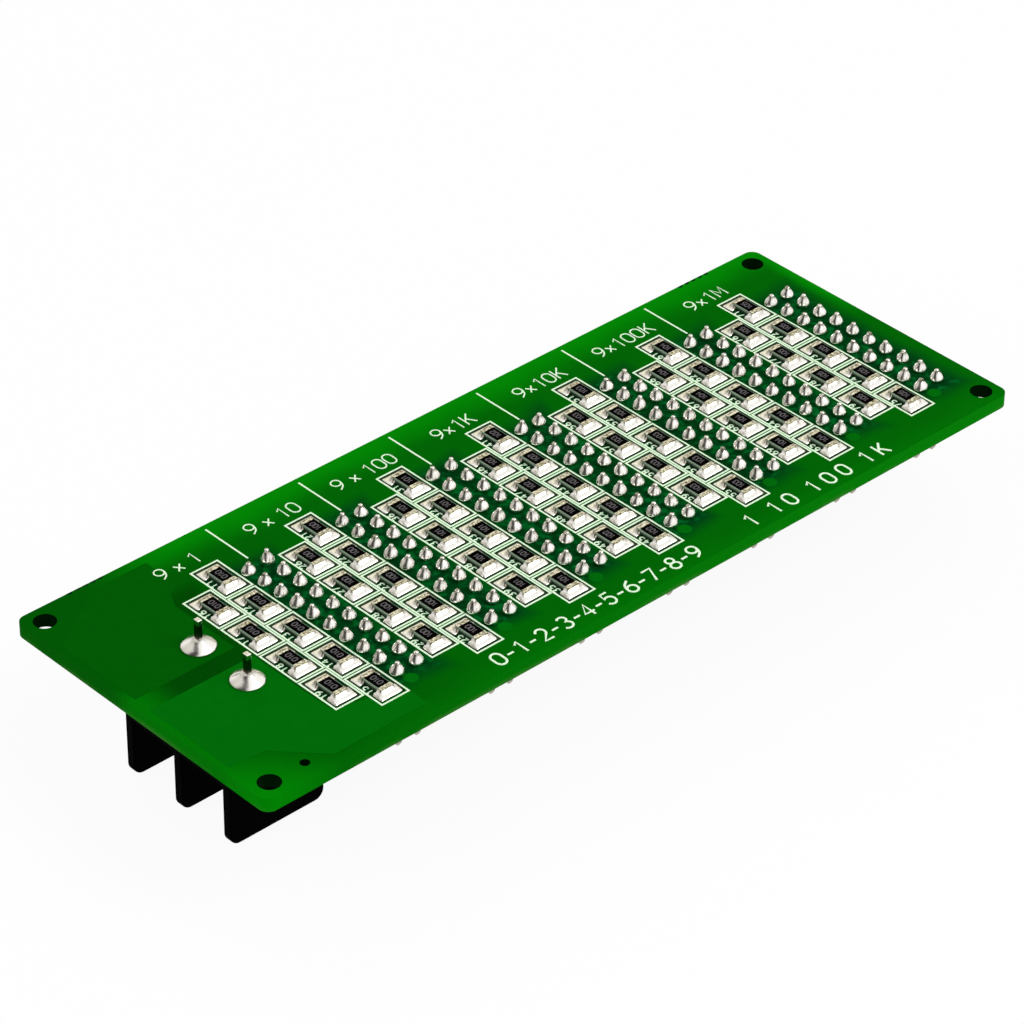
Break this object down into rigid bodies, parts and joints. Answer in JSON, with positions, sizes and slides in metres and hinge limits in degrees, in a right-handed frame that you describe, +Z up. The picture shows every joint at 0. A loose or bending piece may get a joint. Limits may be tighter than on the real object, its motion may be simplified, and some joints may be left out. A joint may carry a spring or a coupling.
{
  "type": "programmable resistor board",
  "caption": "Green circuit board with decades of chip resistors, two-row pin headers with pull-off jumpers, and a barrier screw terminal, lying solder side up.",
  "frame": {"origin": "middle of the board's outline, on the plane that the terminal block's barriers stand on", "axes": "+Z up, away from the solder side; +X along the board from the terminal end to the last decade; +Y towards the long edge that carries the decade numbers"},
  "size_m": [0.1058, 0.0394, 0.018],
  "materials": {
    "fibre_board": "glossy green solder mask over glass fibre",
    "print": "pale screen print",
    "ceramic": "grey ceramic",
    "tinned_end": "tinned",
    "black_glass": "black glass cover with a grey value mark",
    "solder": "bright tin solder",
    "header_moulding": "black moulded nylon",
    "pin_metal": "tinned brass",
    "jumper_moulding": "black moulded nylon",
    "clip_metal": "phosphor bronze spring",
    "terminal_moulding": "black moulded thermoplastic",
    "contact_metal": "tinned brass strip",
    "screw_metal": "zinc-plated steel"
  },
  "bodies": {
    "board": {"circuit_board": "fibre_board", "board_print": "print", "resistor_glass": "black_glass", "terminal_housing": "terminal_moulding", "terminal_contacts": "contact_metal", "terminal_solder": "solder", "resistor_cores_1": "ceramic", "resistor_end_caps_1": "tinned_end", "solder_1": "solder", "header_base_1": "header_moulding", "header_pins_1": "pin_metal", "resistor_cores_2": "ceramic", "resistor_end_caps_2": "tinned_end", "solder_2": "solder", "header_base_2": "header_moulding", "header_pins_2": "pin_metal", "resistor_cores_3": "ceramic", "resistor_end_caps_3": "tinned_end", "solder_3": "solder", "header_base_3": "header_moulding", "header_pins_3": "pin_metal", "resistor_cores_4": "ceramic", "resistor_end_caps_4": "tinned_end", "solder_4": "solder", "header_base_4": "header_moulding", "header_pins_4": "pin_metal", "resistor_cores_5": "ceramic", "resistor_end_caps_5": "tinned_end", "solder_5": "solder", "header_base_5": "header_moulding", "header_pins_5": "pin_metal", "resistor_cores_6": "ceramic", "resistor_end_caps_6": "tinned_end", "solder_6": "solder", "header_base_6": "header_moulding", "header_pins_6": "pin_metal", "resistor_cores_7": "ceramic", "resistor_end_caps_7": "tinned_end", "solder_7": "solder", "header_base_7": "header_moulding", "header_pins_7": "pin_metal"},
    "jumper_1": {"jumper_cap_1": "jumper_moulding", "jumper_clip_1": "clip_metal"},
    "jumper_2": {"jumper_cap_2": "jumper_moulding", "jumper_clip_2": "clip_metal"},
    "jumper_3": {"jumper_cap_3": "jumper_moulding", "jumper_clip_3": "clip_metal"},
    "jumper_4": {"jumper_cap_4": "jumper_moulding", "jumper_clip_4": "clip_metal"},
    "jumper_5": {"jumper_cap_5": "jumper_moulding", "jumper_clip_5": "clip_metal"},
    "jumper_6": {"jumper_cap_6": "jumper_moulding", "jumper_clip_6": "clip_metal"},
    "jumper_7": {"jumper_cap_7": "jumper_moulding", "jumper_clip_7": "clip_metal"},
    "clamp_1": {"terminal_clamp_1": "screw_metal"},
    "screw_1": {"terminal_screw_1": "screw_metal"},
    "clamp_2": {"terminal_clamp_2": "screw_metal"},
    "screw_2": {"terminal_screw_2": "screw_metal"}
  },
  "joints": [
    {"name": "jumper_1_pull", "type": "slide", "parent": "board", "child": "jumper_1", "axis": [0, 0, -1], "range_m": [0, 0.0047]},
    {"name": "jumper_2_pull", "type": "slide", "parent": "board", "child": "jumper_2", "axis": [0, 0, -1], "range_m": [0, 0.0047]},
    {"name": "jumper_3_pull", "type": "slide", "parent": "board", "child": "jumper_3", "axis": [0, 0, -1], "range_m": [0, 0.0047]},
    {"name": "jumper_4_pull", "type": "slide", "parent": "board", "child": "jumper_4", "axis": [0, 0, -1], "range_m": [0, 0.0047]},
    {"name": "jumper_5_pull", "type": "slide", "parent": "board", "child": "jumper_5", "axis": [0, 0, -1], "range_m": [0, 0.0047]},
    {"name": "jumper_6_pull", "type": "slide", "parent": "board", "child": "jumper_6", "axis": [0, 0, -1], "range_m": [0, 0.0047]},
    {"name": "jumper_7_pull", "type": "slide", "parent": "board", "child": "jumper_7", "axis": [0, 0, -1], "range_m": [0, 0.0047]},
    {"name": "clamp_1_lift", "type": "slide", "parent": "board", "child": "clamp_1", "axis": [0, 0, -1], "range_m": [0, 0.0025]},
    {"name": "screw_1_turn", "type": "hinge", "parent": "clamp_1", "child": "screw_1", "pos_m": [-0.04249, 0.00331, 0.0063], "axis": [0, 0, -1], "range_deg": [0, 1810]},
    {"name": "clamp_2_lift", "type": "slide", "parent": "board", "child": "clamp_2", "axis": [0, 0, -1], "range_m": [0, 0.0025]},
    {"name": "screw_2_turn", "type": "hinge", "parent": "clamp_2", "child": "screw_2", "pos_m": [-0.04249, -0.00431, 0.0063], "axis": [0, 0, -1], "range_deg": [0, 1810]}
  ],
  "couplings": [
    {"joint": "screw_1_turn", "follows": "clamp_1_lift", "rad_per_m": 12566},
    {"joint": "screw_2_turn", "follows": "clamp_2_lift", "rad_per_m": 12566}
  ]
}
